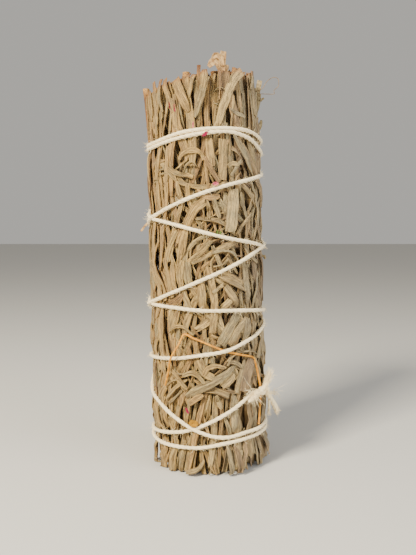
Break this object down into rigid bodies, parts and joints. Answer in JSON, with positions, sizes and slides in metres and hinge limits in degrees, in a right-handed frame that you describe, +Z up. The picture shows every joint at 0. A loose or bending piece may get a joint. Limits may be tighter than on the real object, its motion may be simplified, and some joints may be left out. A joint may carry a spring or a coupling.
{
  "type": "tied bundle of dried sage",
  "caption": "Upright bundle of dried sage leaves and stems, cut flat at both ends and bound criss-cross with knotted cotton string.",
  "frame": {"origin": "middle of the flat foot that the bundle stands on", "axes": "+Z up along the bundle, which leans 1.35 degrees towards -X; -Y is the front, with the knot at its right"},
  "size_m": [0.049, 0.0439, 0.1319],
  "materials": {
    "sage_leaf": "matt dried leaf with a felt of fine grey-green hairs",
    "inner_leaf": "matt dried leaf, darker and browner inside the bundle",
    "sage_wood": "dry woody stem, brown bark and pale cut pith",
    "cotton": "soft plied cotton string with loose fuzz",
    "straw": "dry orange-brown grass stalk with a slight gloss",
    "yellow_petal": "dried yellow petal",
    "pink_petal": "dried magenta petal"
  },
  "bodies": {
    "root": {"sprig_1_leaves": "sage_leaf", "sprig_2_leaves": "sage_leaf", "sprig_3_leaves": "sage_leaf", "sprig_4_leaves": "sage_leaf", "sprig_5_leaves": "sage_leaf", "sprig_6_leaves": "sage_leaf", "sprig_7_leaves": "sage_leaf", "sprig_8_leaves": "sage_leaf", "heart_leaves": "inner_leaf", "sprig_1_stem": "sage_wood", "sprig_2_stem": "sage_wood", "sprig_3_stem": "sage_wood", "sprig_4_stem": "sage_wood", "sprig_5_stem": "sage_wood", "sprig_6_stem": "sage_wood", "sprig_7_stem": "sage_wood", "sprig_8_stem": "sage_wood", "heart_stem": "sage_wood", "side_stem": "sage_wood", "cotton_string": "cotton", "grass_stalk": "straw", "petal_yellow": "yellow_petal", "petal_pink_1": "pink_petal", "petal_pink_2": "pink_petal", "petal_pink_3": "pink_petal"}
  },
  "joints": []
}
